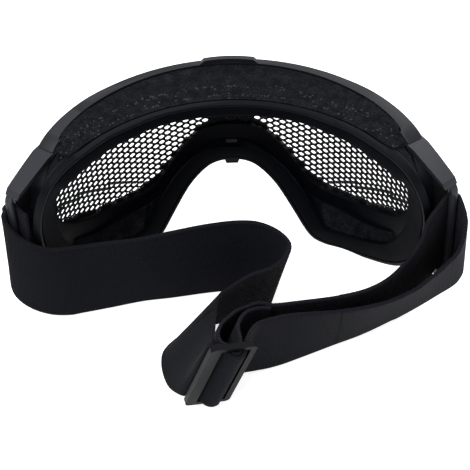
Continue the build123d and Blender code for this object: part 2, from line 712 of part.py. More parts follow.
# All pieces, moved so that the middle of the whole lies over the origin and the floor at zero
pieces = {
    "front_bezel": front_bezel, "frame_body": frame_body, "mesh_lens": mesh_lens, "face_seal": face_seal,
    "brow_vent_foam": brow_vent_foam, "cheek_vent_foam_left": cheek_vent_foam_left,
    "cheek_vent_foam_right": cheek_vent_foam_right, "strap_clip_left": strap_clip_left,
    "strap_clip_right": strap_clip_right, "pivot_pin_left_upper": pivot_pin_left_upper,
    "pivot_pin_left_lower": pivot_pin_left_lower, "pivot_pin_right_upper": pivot_pin_right_upper,
    "pivot_pin_right_lower": pivot_pin_right_lower, "strap_left": strap_left, "strap_right": strap_right,
    "tri_glide": tri_glide,
}
boxes = [piece.part.bounding_box() for piece in pieces.values()]
middle_x = (min(box.min.X for box in boxes) + max(box.max.X for box in boxes)) / 2
middle_y = (min(box.min.Y for box in boxes) + max(box.max.Y for box in boxes)) / 2
floor = min(box.min.Z for box in boxes)
for name, piece in pieces.items():
    placed = piece.part.moved(Location((-middle_x, -middle_y, -floor)))
    placed.label = name
    export_step(placed, f"parts/{name}.step")
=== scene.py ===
from math import cos, hypot, pi, radians, sin

import bmesh
import bpy
from mathutils import Matrix, Vector


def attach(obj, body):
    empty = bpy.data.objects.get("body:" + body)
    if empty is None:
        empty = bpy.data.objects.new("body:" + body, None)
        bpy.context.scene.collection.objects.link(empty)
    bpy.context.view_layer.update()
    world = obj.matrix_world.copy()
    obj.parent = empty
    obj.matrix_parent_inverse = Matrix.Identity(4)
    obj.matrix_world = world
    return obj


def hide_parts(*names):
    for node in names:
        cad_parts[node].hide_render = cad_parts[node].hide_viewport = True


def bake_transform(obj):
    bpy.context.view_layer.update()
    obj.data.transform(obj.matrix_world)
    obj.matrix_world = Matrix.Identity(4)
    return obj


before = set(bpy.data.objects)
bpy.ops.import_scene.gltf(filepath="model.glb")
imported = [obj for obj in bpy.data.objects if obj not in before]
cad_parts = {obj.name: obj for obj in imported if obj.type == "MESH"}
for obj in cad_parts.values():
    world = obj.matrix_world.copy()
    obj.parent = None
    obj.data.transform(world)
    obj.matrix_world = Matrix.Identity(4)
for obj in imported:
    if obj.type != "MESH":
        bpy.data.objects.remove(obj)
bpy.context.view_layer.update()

# The view: the goggles lie with the face side towards the camera, seen from behind and well above.
# The camera stands far back with a long lens, so the frame keeps its true proportions.
view_right = Vector((0.99962, -0.00959, -0.02593))
view_up = Vector((0.02411, 0.76134, 0.64790))
view_back = Vector((0.01353, -0.64828, 0.76128))
focal_pixels = 1912
picture_pixels = 470
camera_data = bpy.data.cameras.new("view")
camera_data.sensor_width = 36
camera_data.lens = focal_pixels / picture_pixels * camera_data.sensor_width
camera_data.clip_end = 10
camera = bpy.data.objects.new("view", camera_data)
camera.matrix_world = Matrix((view_right, view_up, view_back)).transposed().to_4x4()
camera.location = (0.01006, -0.48929, 0.61699)
bpy.context.collection.objects.link(camera)
bpy.context.scene.camera = camera
bpy.context.scene.view_settings.view_transform = "Standard"


# The table: a pale sheet that runs out of the picture, lit so that it reads white with a faint contact shadow.
# It belongs to the studio, not to the goggles.
def linear(code):
    """Linear colour of an sRGB hex code"""
    parts = [int(code[i:i + 2], 16) / 255 for i in (0, 2, 4)]
    return [p / 12.92 if p <= 0.04045 else ((p + 0.055) / 1.055) ** 2.4 for p in parts] + [1.0]


def add(tree, kind, settings=None, inputs=None, **links):
    """Adds a node with its settings and its inputs, each a constant or the output of another node"""
    node = tree.nodes.new(kind)
    for name, value in (settings or {}).items():
        setattr(node, name, value)
    for name, value in [*(inputs or {}).items(), *links.items()]:
        if isinstance(value, bpy.types.Node):
            value = value.outputs[0]
        if isinstance(value, bpy.types.NodeSocket):
            tree.links.new(value, node.inputs[name])
        else:
            node.inputs[name].default_value = value
    return node


def figure(tree, operation, *values):
    """Adds a node that reckons with constants or the outputs of other nodes"""
    return add(tree, "ShaderNodeMath", {"operation": operation}, dict(enumerate(values)))


def new_material(name):
    """New material, with its node tree and its shader"""
    material = bpy.data.materials.new(name)
    material.use_nodes = True
    return material, material.node_tree, material.node_tree.nodes["Principled BSDF"]


def laid(name, bm):
    """Puts a finished mesh into the scene"""
    mesh = bpy.data.meshes.new(name)
    bm.to_mesh(mesh)
    bm.free()
    piece = bpy.data.objects.new(name, mesh)
    bpy.context.collection.objects.link(piece)
    return piece


def white_rays(tree):
    """One for the rays that show the background: seen straight, in gloss and through clear pieces"""
    rays = add(tree, "ShaderNodeLightPath").outputs
    either = figure(tree, "MAXIMUM", rays["Is Camera Ray"], rays["Is Transmission Ray"])
    return figure(tree, "MAXIMUM", either, rays["Is Glossy Ray"])


def paper_table():
    """Matte white paper, 8 m wide, a hair below the pieces so that none sinks into it"""
    paper, tree, _ = new_material("white paper sweep")
    tree.nodes.clear()
    matte = add(tree, "ShaderNodeBsdfDiffuse", inputs={"Color": linear("E6E6E6")})
    glow = add(tree, "ShaderNodeEmission", inputs={"Strength": 0.8})
    both = add(tree, "ShaderNodeAddShader", inputs={0: matte, 1: glow})
    choice = add(tree, "ShaderNodeMixShader", inputs={0: white_rays(tree), 1: matte, 2: both})
    add(tree, "ShaderNodeOutputMaterial", Surface=choice)
    bm = bmesh.new()
    bmesh.ops.create_grid(bm, x_segments=1, y_segments=1, size=4)
    table = laid("table", bm)
    table.data.materials.append(paper)
    table.location.z = -0.0003


def soft_room():
    """Even light from all round, and three broad lamps: each with its place, its size in metres and its watts"""
    world = bpy.data.worlds.new("soft room")
    bpy.context.scene.world = world
    world.use_nodes = True
    tree = world.node_tree
    tree.nodes.clear()
    room = add(tree, "ShaderNodeBackground", inputs={"Strength": 0.55})
    white = add(tree, "ShaderNodeBackground", inputs={"Strength": 1.0, "Color": (1, 1, 1, 1)})
    choice = add(tree, "ShaderNodeMixShader", inputs={0: white_rays(tree), 1: room, 2: white})
    add(tree, "ShaderNodeOutputWorld", Surface=choice)
    goggles_middle = Vector((0, 0, 0.03))
    for name, place, size, watts in (("key", (-0.35, -0.35, 1.3), 0.9, 17), ("front", (0.5, 0.9, 0.9), 0.7, 9),
                                     ("low", (0.3, -1.3, 0.5), 0.8, 2.5)):
        lamp = bpy.data.lights.new(name, "AREA")
        lamp.size = size
        lamp.energy = watts
        light = bpy.data.objects.new(name, lamp)
        bpy.context.collection.objects.link(light)
        light.location = place
        light.rotation_euler = (goggles_middle - Vector(place)).to_track_quat("-Z", "Y").to_euler()


paper_table()
soft_room()


# Rear frame: one moulding of a firm black plastic, with the lens seat, the walls and the flange for the face seal.
# It is injection moulded with a fine satin texture, and its edges are softened by the tool.
# It is swept through the CAD's own outline tables, four times finer and with rounded corners.
def shown(piece, node, body, material, bevel, sharp=32):
    """Finishes a piece that stands for a CAD node: shading, softened edges, material and body"""
    weld = 0.00002
    flat_enough = radians(0.6)
    mesh = piece.data
    bm = bmesh.new()
    bm.from_mesh(mesh)
    bmesh.ops.remove_doubles(bm, verts=bm.verts, dist=weld)
    bmesh.ops.dissolve_limit(bm, angle_limit=flat_enough, verts=bm.verts, edges=bm.edges)
    for face in bm.faces:
        face.smooth = True
    for edge in bm.edges:
        edge.smooth = len(edge.link_faces) == 2 and edge.calc_face_angle(0) < radians(sharp)
    bm.to_mesh(mesh)
    bm.free()
    mesh.materials.clear()
    mesh.materials.append(material)
    if bevel:
        soften = piece.modifiers.new("soft edges", "BEVEL")
        soften.width = bevel
        soften.segments = 2
        soften.limit_method = "ANGLE"
        soften.angle_limit = radians(sharp)
        soften.harden_normals = True
    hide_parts(node)
    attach(piece, body)
    return piece


def dressed(node, body, material, bevel, sharp=32):
    """Copy of a CAD node's mesh, finished"""
    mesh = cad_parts[node].data.copy()
    mesh.name = node + "_finished"
    piece = bpy.data.objects.new(node + "_finished", mesh)
    bpy.context.collection.objects.link(piece)
    return shown(piece, node, body, material, bevel, sharp)


def mixed(tree, share, first, second):
    """Colour between two others"""
    return add(tree, "ShaderNodeMix", {"data_type": "RGBA"}, {0: share, 6: first, 7: second}).outputs[2]


def moulded(name, code, roughness, grain, edge_highlight, specular):
    """Injection-moulded plastic with a fine spark-eroded grain, and its edges painted a little paler: a painted
    highlight
    """
    material, tree, shader = new_material(name)
    shader.inputs["IOR"].default_value = 1.53
    shader.inputs["Specular IOR Level"].default_value = specular
    place = add(tree, "ShaderNodeTexCoord").outputs["Object"]
    # The grain is 0.35 mm, and a slow cloud 12 mm across changes how dull the surface is
    fine = add(tree, "ShaderNodeTexNoise", inputs={"Scale": 1 / 0.00035, "Detail": 2.0, "Vector": place})
    cloud = add(tree, "ShaderNodeTexNoise", inputs={"Scale": 1 / 0.012, "Detail": 3.0, "Vector": place})
    dull = add(tree, "ShaderNodeMapRange",
               inputs={"To Min": roughness - 0.07, "To Max": roughness + 0.08, "Value": cloud.outputs["Fac"]})
    bump = add(tree, "ShaderNodeBump", inputs={"Strength": grain, "Distance": 0.00006, "Height": fine.outputs["Fac"]})
    # Sharp edges, found by their pointiness, are painted a little paler: a painted highlight
    edge = add(tree, "ShaderNodeNewGeometry").outputs["Pointiness"]
    painted_edge_highlight = add(tree, "ShaderNodeMapRange", inputs={"From Min": 0.54, "From Max": 0.64, "To Max": 0.5, "Value": edge})
    tone = mixed(tree, painted_edge_highlight, linear(code), linear(edge_highlight))
    for result, name in ((dull.outputs[0], "Roughness"), (bump.outputs[0], "Normal"), (tone, "Base Color")):
        tree.links.new(result, shader.inputs[name])
    return material


# Measures in metres: the lens's curve, the head's curve behind the face side, and the sizes that the shares divide
lens_radius = 0.084
head_depth = 0.1
front_half_arc = 0.096
face_half_width = 0.075
face_depth = 0.062
frame_height = 0.080
# The middle of the lens's front lies this far from the middle of the whole
front_x = -0.00106
front_y = 0.05741
lens_front = Vector((front_x, front_y, 0))
# Outline of the front edge, nose to cheek to temple to brow: shares of front_half_arc and frame_height
front_shares = [(0.00, 0.51), (0.09, 0.49), (0.19, 0.36), (0.28, 0.21), (0.39, 0.13), (0.52, 0.12), (0.69, 0.15),
                (0.86, 0.25), (0.96, 0.38), (1.00, 0.54), (0.99, 0.70), (0.94, 0.88), (0.84, 0.97), (0.65, 1.00),
                (0.50, 1.00), (0.33, 1.00), (0.17, 1.00), (0.00, 1.00)]
# Outline of the rear edge, which meets the face: shares of face_half_width, face_depth and frame_height
rear_shares = [(0.00, 0.19, 0.46), (0.12, 0.21, 0.44), (0.24, 0.27, 0.33), (0.35, 0.35, 0.15), (0.44, 0.42, 0.03),
               (0.59, 0.48, -0.01), (0.75, 0.60, 0.01), (0.89, 0.77, 0.11), (0.97, 0.92, 0.31), (1.00, 0.98, 0.53),
               (0.99, 1.00, 0.73), (0.93, 0.97, 0.91), (0.83, 0.84, 0.98), (0.64, 0.63, 1.00), (0.51, 0.53, 1.00),
               (0.37, 0.44, 1.00), (0.19, 0.38, 1.00), (0.00, 0.36, 1.00)]


def flipped(row):
    """Mirror image of a row of points"""
    return [Vector((-point.x, point.y, point.z)) for point in row]


def finer(rows, times):
    """Rows of points with more between each two, by the four-point rule; both ends go on as their mirror image"""
    for _ in range(times):
        whole = [flipped(rows[1]), *rows, flipped(rows[-2])]
        made = []
        for k in range(len(rows) - 1):
            around = zip(*whole[k:k + 4])
            made += [rows[k], [(9 * (b + c) - a - d) / 16 for a, b, c, d in around]]
        rows = made + [rows[-1]]
    return rows


def finer_values(values):
    """One value for each place of the outline, from one for each share"""
    return [row[0].y for row in finer([[Vector((0, value, 0))] for value in values], 1)]


def front_point(arc, height, rise=0.0):
    """Point at an arc length along the lens, at a height and a rise off its front"""
    angle = arc / lens_radius
    return Vector(((lens_radius + rise) * sin(angle), (lens_radius + rise) * cos(angle) - lens_radius, height))


def upright(point, back):
    """Level direction to a point from the upright axis that far behind the front"""
    return Vector((point.x, point.y + back, 0)).normalized()


front_edge = [front_point(row[0].x * front_half_arc, row[0].y * frame_height)
              for row in finer([[Vector((*share, 0))] for share in front_shares], 1)]
rear_edge = [Vector((row[0].x * face_half_width, -row[0].y * face_depth, row[0].z * frame_height))
             for row in finer([[Vector(share)] for share in rear_shares], 1)]
places = range(len(front_edge))


def inward(edge, place, back):
    """Direction into the window at a place of an edge, square to its run and to the wall's face there"""
    before = edge[place - 1] if place else flipped([edge[1]])[0]
    after = edge[place + 1] if place + 1 < len(edge) else flipped([edge[-2]])[0]
    out = upright(edge[place], back)
    run = after - before
    return (run - out * run.dot(out)).normalized().cross(out)


def on_front(place, rise, depth):
    """Point at a rise off the lens's front and a depth into the window, in mm"""
    point = front_edge[place] + inward(front_edge, place, lens_radius) * depth / 1000
    return point + upright(point, lens_radius) * (lens_radius + rise / 1000 - hypot(point.x, point.y + lens_radius))


def on_rear(place, forward, depth):
    """Point that far before the face side's edge and into the window, in mm"""
    edge = rear_edge[place]
    return edge + upright(edge, head_depth) * forward / 1000 + inward(rear_edge, place, head_depth) * depth / 1000


def turned(start, corner, end, shares):
    """Points of a round from start to end that leans towards a corner"""
    return [start * (1 - t) ** 2 + corner * 2 * t * (1 - t) + end * t * t for t in shares]


def eased(row, radius):
    """A section with a small round at each corner"""
    made = []
    for k, corner in enumerate(row):
        sides = []
        for other in (row[k - 1], row[(k + 1) % len(row)]):
            away = other - corner
            sides.append(corner + away * min(0.4, radius / max(away.length, 1e-6)))
        made += turned(sides[0], corner, sides[1], (0, 0.35, 0.65, 1))
    return made


def swept(name, rows, radius, part=None, top=frame_height):
    """Band through the sections at every place of the outline: right half and mirror image, or a part of its length"""
    rows = finer([eased(row, radius) for row in rows], 2)
    if part:
        rows = rows[4 * part[0]:4 * part[1] + 1]
    else:
        rows = rows + [flipped(row) for row in rows[-2:0:-1]] + [rows[0]]
    count = len(rows[0])
    bm = bmesh.new()
    bmesh.ops.create_grid(bm, x_segments=count, y_segments=len(rows) - 1, size=1)
    for vert in bm.verts:
        point = rows[round((vert.co.y + 1) / 2 * (len(rows) - 1))][round((vert.co.x + 1) / 2 * count) % count]
        vert.co = Vector((point.x, point.y, min(max(point.z, 0), top))) + lens_front
    bmesh.ops.remove_doubles(bm, verts=bm.verts, dist=0.000001)
    if part:
        bmesh.ops.holes_fill(bm, edges=bm.edges, sides=0)
    bmesh.ops.recalc_face_normals(bm, faces=bm.faces)
    return laid(name, bm)


def mirrored(piece):
    """Turns a piece into its mirror image"""
    for vert in piece.data.vertices:
        vert.co.x = 2 * lens_front.x - vert.co.x
    piece.data.flip_normals()
    return piece


def block(outlines, way, side=1):
    """Blocks over flat outlines, all drawn out one way, or their mirror image"""
    bm = bmesh.new()
    faces = []
    for outline in outlines:
        faces.append(bm.faces.new([bm.verts.new(Vector((side * x, y, z)) + lens_front) for x, y, z in outline]))
    made = bmesh.ops.extrude_face_region(bm, geom=faces)
    ends = [item for item in made["geom"] if isinstance(item, bmesh.types.BMVert)]
    bmesh.ops.translate(bm, verts=ends, vec=(side * way[0], way[1], way[2]))
    bmesh.ops.recalc_face_normals(bm, faces=bm.faces)
    return laid("tool", bm)


def upright_block(outline, low, high, side=1):
    """Block between two heights over an outline seen from above"""
    return block([[(x, y, low) for x, y in outline]], (0, 0, high - low), side)


def worked(piece, steps):
    """Joins tools to a piece, or cuts it with them, in order, and takes the tools away"""
    for operation, tool in steps:
        cut = piece.modifiers.new("cut", "BOOLEAN")
        cut.operation = operation
        cut.object = tool
        cut.solver = "MANIFOLD"
    graph = bpy.context.evaluated_depsgraph_get()
    mesh = bpy.data.meshes.new_from_object(piece.evaluated_get(graph))
    piece.modifiers.clear()
    piece.data = mesh
    for operation, tool in steps:
        bpy.data.objects.remove(tool)
    return piece


# The clip's own axes: x rearward from its pivot, y outward. Its measures are in mm.
clip_heading = radians(-52.3)
pivot = front_point(0.084, 0, 0.002)
clip_run = Vector((cos(clip_heading), sin(clip_heading), 0))
clip_out = Vector((-clip_run.y, clip_run.x, 0))
clip_reach = 26.5
clip_inner = 5.5
clip_outer = 2.2
clip_end_outer = 0.3
clip_crown = 0.4
tongue_radius = 4.3
swing_gap = 0.35


def beside(x, y):
    """Level place from the clip's own axes"""
    point = pivot + (clip_run * x + clip_out * y) / 1000
    return point.x, point.y


def round_plan(radius, step):
    """Round outline about the clip's pivot, with a corner every few degrees"""
    return [beside(radius * cos(radians(a)), radius * sin(radians(a))) for a in range(0, 360, step)]


def clip_plan(grow, low, high, side):
    """Block over the clip's outline from above: a round tongue at the pivot and the strip behind it"""
    half = clip_reach / 2
    outer = [beside(x, clip_outer + grow - (clip_outer - clip_end_outer) * x / clip_reach
                    + clip_crown * (1 - (x / half - 1) ** 2)) for x in (clip_reach, 22, 18, 14, 10, 6, 3, 0)]
    strip = [beside(-grow, -clip_inner - grow), beside(clip_reach - 2, -clip_inner - grow),
             beside(clip_reach + grow, 2 - clip_inner), beside(clip_reach + grow, clip_end_outer + grow)]
    rim_radius = lens_radius + 0.004 + grow / 1000
    rim = [(rim_radius * sin(radians(a)), rim_radius * cos(radians(a)) - lens_radius) for a in range(0, 360, 2)]
    tongue = worked(upright_block(round_plan(tongue_radius + grow, 8), low, high, side),
                    [("INTERSECT", upright_block(rim, low - 0.01, high + 0.01, side))])
    return worked(tongue, [("UNION", upright_block(strip + outer, low, high, side))])


def clip_room(side):
    """Steps that cut the room in which a strap clip swings: its two flanges, and the skin that joins them"""
    grow = swing_gap
    heights = [(-30, 14 - grow), (-30, 75 + grow), (tongue_radius, 75 + grow), (21.5, 70 + grow),
               (clip_reach + grow, 64 + grow), (clip_reach + grow, 19.4), (21.5, 15.5 - grow)]
    hollow = [(-30, 17 + grow), (-30, 72 - grow), (tongue_radius, 72 - grow), (56.5, 60.6 - grow),
              (56.5, 19.4 + grow), (clip_reach, 19.4 + grow), (tongue_radius, 17 + grow)]
    skin = [(*beside(x, y), -0.01) for x, y in ((1.6, -grow), (19.75, -grow), (19.75, 30), (1.6, 30))]

    def across(outline):
        """Block over an outline seen from the clip's side"""
        return block([[(*beside(x, 30), z / 1000) for x, z in outline]], -0.06 * clip_out, side)

    flanges = worked(clip_plan(grow, -0.01, 0.1, side),
                     [("INTERSECT", across(heights)), ("DIFFERENCE", across(hollow))])
    joined = worked(clip_plan(grow, -0.01, 0.1, side),
                    [("INTERSECT", block([skin], (0, 0, 0.12), side)), ("INTERSECT", across(heights))])
    return [("DIFFERENCE", flanges), ("DIFFERENCE", joined)]


# Section of the rear frame, in mm
wall = 2.2
brow_wall = 5.0
seat_face = 1.05
seat_back = 3.05
seat_start = 2.75
seat_width = 8.0
skirt_back = 3.35
root_back = 4.45
flange_width = 5.4
flange_back = 2.1
flange_front = 3.3
bead_width = 1.6


def wall_face(place, back, depth, inner):
    """Line on the wall from a point behind the lens's front to one on the flange, and the direction off it inward"""
    front = on_front(place, -back, depth)
    rear = on_rear(place, flange_front, inner)
    run = (rear - front).normalized()
    into = inward(front_edge, place, lens_radius) + inward(rear_edge, place, head_depth)
    return front, rear, (into - run * into.dot(run)).normalized()


def wall_band(place, back, depth, inner, shares, heights):
    """Four-cornered section over a part of the wall's line, between two heights off it, in metres"""
    front, rear, into = wall_face(place, back, depth, inner)
    start, end = (front.lerp(rear, share) for share in shares)
    low, high = (into * height for height in heights)
    return [start + low, end + low, end + high, start + high]


def brow_hollow():
    """Recess over the brow: a crescent between two arcs, and a channel past each clip's tongue"""
    def arc(back, radius, first, last):
        return [Vector((radius * sin(a), radius * cos(a) - back))
                for a in (radians(first + (last - first) * k / 60) for k in range(61))]

    # The two arcs end on the lines 50 degrees to either side of a point 100 mm behind the front
    near = arc(0.07812, 0.07912, 62.23, -62.23)
    far = arc(head_depth, 0.08008, -50, 50)
    corner_round = 0.004
    outline = []
    for first, second in ((near, far), (far, near)):
        last, following = first[-1], second[0]
        between = (following - last).normalized() * corner_round
        outline += first[4:-4]
        outline += turned(first[-5], last, last + between, (0.2, 0.4, 0.6, 0.8))
        outline += turned(following - between, following, second[4], (0.2, 0.4, 0.6, 0.8))
    rows = [wall_band(place, skirt_back, 0, 0, (0.27, 0.85), (0.003, -0.010)) for place in places]
    right = swept("tool", rows, 0.00005, (22, 25), top=1)
    left = mirrored(swept("tool", rows, 0.00005, (22, 25), top=1))
    tongue_wall = 1.5
    recess_floor = 0.077
    steps = [("UNION", right), ("UNION", left)]
    steps += [("DIFFERENCE", clip_plan(swing_gap + tongue_wall, -0.02, 0.11, side)) for side in (1, -1)]
    return worked(upright_block(outline, recess_floor, 0.095), steps)


def wall_slot(place, length, width, past, side=1):
    """Step that cuts a round-ended slot from outside to that far past the wall's inner face, in mm"""
    front, rear, into = wall_face(place, root_back, wall, flange_width)
    run = (rear - front).normalized()
    along = run.cross(into)
    outside = 7.5
    middle = (front + rear) / 2 - into * outside / 1000
    outline = []
    for k in range(24):
        a = radians(15 * k + 7.5)
        reach = (length - width) / 2 * (1 if cos(a) > 0 else -1)
        outline.append(middle + (along * (width / 2 * cos(a) + reach) + run * width / 2 * sin(a)) / 1000)
    return "DIFFERENCE", block([outline], into * (outside + past) / 1000, side)


frame_plastic = moulded("satin black moulded nylon", "07080D", 0.5, 0.25, edge_highlight="1A1B22", specular=0.05)
sections = []
for place, share in zip(places, finer_values([0.0] * 11 + [0.8] + [1.0] * 6)):
    seat = [(-seat_face, seat_start), (-seat_face, seat_width), (-seat_back, seat_width),
            (-root_back, wall + (brow_wall - wall) * share)]
    flange = [(flange_front, flange_width), (flange_back, flange_width), (flange_back, bead_width), (0, bead_width),
              (0, 0), (flange_front, 0)]
    root = [(-skirt_back, 0), (-skirt_back, seat_start)]
    sections.append([on_front(place, *corner) for corner in seat] + [on_rear(place, *corner) for corner in flange]
                    + [on_front(place, *corner) for corner in root])
moulding = swept("frame_body_finished", sections, 0.0004)
nose = rear_edge[0]
nose_tab = [(x / 1000, nose.y, nose.z + z / 1000) for x, z in ((-3.2, 0.8), (3.2, 0.8), (2.4, -2), (-2.4, -2))]
# Nine vents in the floor of the brow recess, under the foam, 8.75 degrees apart
vent_inner = 85.04
vent_outer = 96.04
vent_half = 5.6
vents = []
for k in range(9):
    a = radians(8.75 * (k - 4))
    out, over = Vector((sin(a), cos(a), 0)), Vector((cos(a), -sin(a), 0))
    vents.append([Vector((0, -head_depth, 0.072)) + out * reach / 1000 + over * width / 1000
                  for reach, width in ((vent_inner, -vent_half), (vent_outer, -vent_half), (vent_outer, vent_half),
                                       (vent_inner, vent_half))])
# The lower vents end 1.3 mm short of the wall's inner face, because no light is seen through them
cheek_vents = [wall_slot(place, 9, 3.6, -1.3, side) for side in (1, -1) for place in (9, 11, 13)]
worked(moulding, [("UNION", block([nose_tab], (0, flange_front / 1000, 0))), ("DIFFERENCE", brow_hollow()),
                  ("DIFFERENCE", block(vents, (0, 0, 0.02))), *cheek_vents, wall_slot(0, 4.4, 1.6, 7.5),
                  *clip_room(1), *clip_room(-1)])
shown(moulding, "frame_body", "frame", frame_plastic, 0.0002, sharp=40)


# Perforated lens: a thin stamped sheet, painted matte black, with hexagonal holes in staggered columns.
# It is bent to the frame's curve and trapped between the two mouldings, so only the window shows.
def perforated_sheet():
    """Hexagonal cells, with holes in the window and plain over the bridge and round the edge, then bent"""
    pitch = 0.0031
    flats = 0.0024
    gauge = 0.0008
    sheet_margin = 0.0036
    hole_margin = 0.0078
    bridge_half = 0.0105
    edge = [Vector((s * front_half_arc, z * frame_height)) for s, z in front_shares]
    edge += [Vector((-point.x, point.y)) for point in reversed(edge[1:-1])]

    def depth(s, z):
        """Distance inside the outline, negative outside"""
        point = Vector((s, z))
        inside = False
        least = 1.0
        for a, b in zip(edge, edge[1:] + edge[:1]):
            if (a.y > z) != (b.y > z) and s < (b.x - a.x) * (z - a.y) / (b.y - a.y) + a.x:
                inside = not inside
            along = max(0.0, min(1.0, (point - a).dot(b - a) / (b - a).length_squared))
            least = min(least, (point - a - (b - a) * along).length)
        return least if inside else -least

    # The cells' points lie upright, so neighbours overlap by 0.4 mm and stay separate, and 275 of the 1136 cells face
    # inward and stand 0.8 mm forward. Rounding decides which ones, so the two turns and the bend below stay as is.
    turn = Matrix.Rotation(radians(30), 3, "Z")
    cells = []
    for holed in (False, True):
        bm = bmesh.new()
        bmesh.ops.create_circle(bm, cap_ends=True, segments=6, radius=pitch / 3 ** 0.5)
        bmesh.ops.rotate(bm, verts=bm.verts, cent=(0, 0, 0), matrix=turn)
        if holed:
            cell = bm.faces[:]
            bmesh.ops.inset_region(bm, faces=cell, thickness=(pitch - flats) / 2, use_even_offset=True,
                                   use_boundary=True)
            bmesh.ops.delete(bm, geom=cell, context="FACES_ONLY")
        bmesh.ops.rotate(bm, verts=bm.verts, cent=(0, 0, 0), matrix=turn)
        mesh = bpy.data.meshes.new("cell")
        bm.to_mesh(mesh)
        bm.free()
        cells.append(mesh)
    sheet = bmesh.new()
    step = pitch * cos(radians(30))
    columns = int(front_half_arc / step) + 1
    for column in range(-columns, columns + 1):
        for row in range(int(frame_height / pitch) + 2):
            s = column * step
            z = (row + column % 2 / 2) * pitch
            inside = depth(s, z)
            if inside < sheet_margin:
                continue
            before = len(sheet.verts)
            sheet.from_mesh(cells[inside > hole_margin and abs(s) > bridge_half])
            sheet.verts.ensure_lookup_table()
            bmesh.ops.translate(sheet, verts=sheet.verts[before:], vec=(s, z, 0))
    bmesh.ops.remove_doubles(sheet, verts=sheet.verts, dist=0.00005)
    for vert in sheet.verts:
        s, z = vert.co.x, vert.co.y
        vert.co = Vector((lens_radius * sin(s / lens_radius) + front_x,
                          lens_radius * cos(s / lens_radius) - lens_radius + front_y, z))
    bmesh.ops.recalc_face_normals(sheet, faces=sheet.faces)
    for spare in cells:
        bpy.data.meshes.remove(spare)
    piece = laid("perforated_lens", sheet)
    axis_y = front_y - lens_radius
    outward = sum(p.normal.dot(Vector((p.center.x, p.center.y - axis_y, 0))) for p in piece.data.polygons)
    thick = piece.modifiers.new("sheet gauge", "SOLIDIFY")
    thick.thickness = gauge
    thick.offset = -1 if outward > 0 else 1
    return piece


lens_paint = moulded("matte black painted sheet", "0B0C10", 0.6, 0.15, edge_highlight="1C1D22", specular=0.1)
lens = perforated_sheet()
lens.data.materials.append(lens_paint)
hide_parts("mesh_lens")
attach(lens, "frame")

# Front bezel: the outer rim that traps the lens, moulded in a greyer plastic with a satin face.
# Its bosses carry the pivots of the strap clips at the temples.
bezel_plastic = moulded("satin charcoal moulded rim", "1A1B1F", 0.45, 0.2, edge_highlight="34353B", specular=0.16)
rim_profile = [(-3.2, 0), (4, 0), (4, 3.5), (2.4, 6), (0.25, 6), (0.25, 2.6), (-3.2, 2.6)]
sections = [[on_front(place, *corner) for corner in rim_profile] for place in places]
bezel = swept("front_bezel_finished", sections, 0.0009)
# Brow tab: a low block that follows the rim's curve and narrows upward, 26 mm wide below and 20 mm above
tab_half = 0.013
tab_arc = [(radius * sin(a), radius * cos(a) - lens_radius) for radius, turn in ((0.0871, 1), (0.0852, -1))
           for a in (turn * tab_half / radius * (k / 6 - 1) for k in range(13))]
tab = upright_block(tab_arc, 0.0785, 0.082)
for vert in tab.data.vertices:
    if vert.co.z > 0.081:
        vert.co.x = lens_front.x + (vert.co.x - lens_front.x) * 10 / 13
boss_radius = 1.8
hole_radius = 0.92
# Each boss's lower and upper end, and those of the pin's hole in it
boss_heights = [(0.06645, 0.07165, 0.06825, 0.075), (0.01735, 0.02255, 0.01, 0.02075)]
bosses = []
for side in (1, -1):
    for low, high, hole_low, hole_high in boss_heights:
        bosses += [("UNION", upright_block(round_plan(boss_radius, 15), low, high, side)),
                   ("DIFFERENCE", upright_block(round_plan(hole_radius, 15), hole_low, hole_high, side))]
worked(bezel, [("DIFFERENCE", brow_hollow()), *clip_room(1), *clip_room(-1), ("UNION", tab), *bosses])
shown(bezel, "front_bezel", "frame", bezel_plastic, 0.0003, sharp=40)

# Pivot pins: plain turned steel, two to a clip, pressed into the bezel's bosses.
# The CAD's own meshes are shown, because only the pins' ends are seen.
pin_steel = moulded("turned steel pin", "8A8C90", 0.3, 0.1, edge_highlight="B0B2B6", specular=0.5)
pin_steel.node_tree.nodes["Principled BSDF"].inputs["Metallic"].default_value = 1.0
for side in ("left", "right"):
    for end in ("upper", "lower"):
        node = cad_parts[f"pivot_pin_{side}_{end}"]
        node.data.materials.clear()
        node.data.materials.append(pin_steel)

# Face seal: a soft moulded rubber band that meets the face, glued inside the rear rim.
# Its surface is smooth and slightly satiny from handling.
# It is 12 mm wide over the cheeks and narrower at nose and brow.
seal_rubber = moulded("satin black seal rubber", "05060A", 0.6, 0.1, edge_highlight="0D0E14", specular=0.02)
seal_shares = [0.60, 0.65, 0.70, 0.75, 0.80, 0.80, 0.85, 0.90, 1.00, 1.00, 1.00, 0.95, 0.80, 0.65, 0.59, 0.55, 0.55,
               0.55]
seal_widest = 12
seal_inner = 1.9
seal_thickness = 1.8
sections = []
for place, share in zip(places, finer_values(seal_shares)):
    corners = [(0, seal_inner), (0, share * seal_widest), (seal_thickness, share * seal_widest),
               (seal_thickness, seal_inner)]
    sections.append([on_rear(place, *corner) for corner in corners])
seal = swept("seal_band", sections, 0.0008)
shown(seal, "face_seal", "frame", seal_rubber, 0, sharp=50)
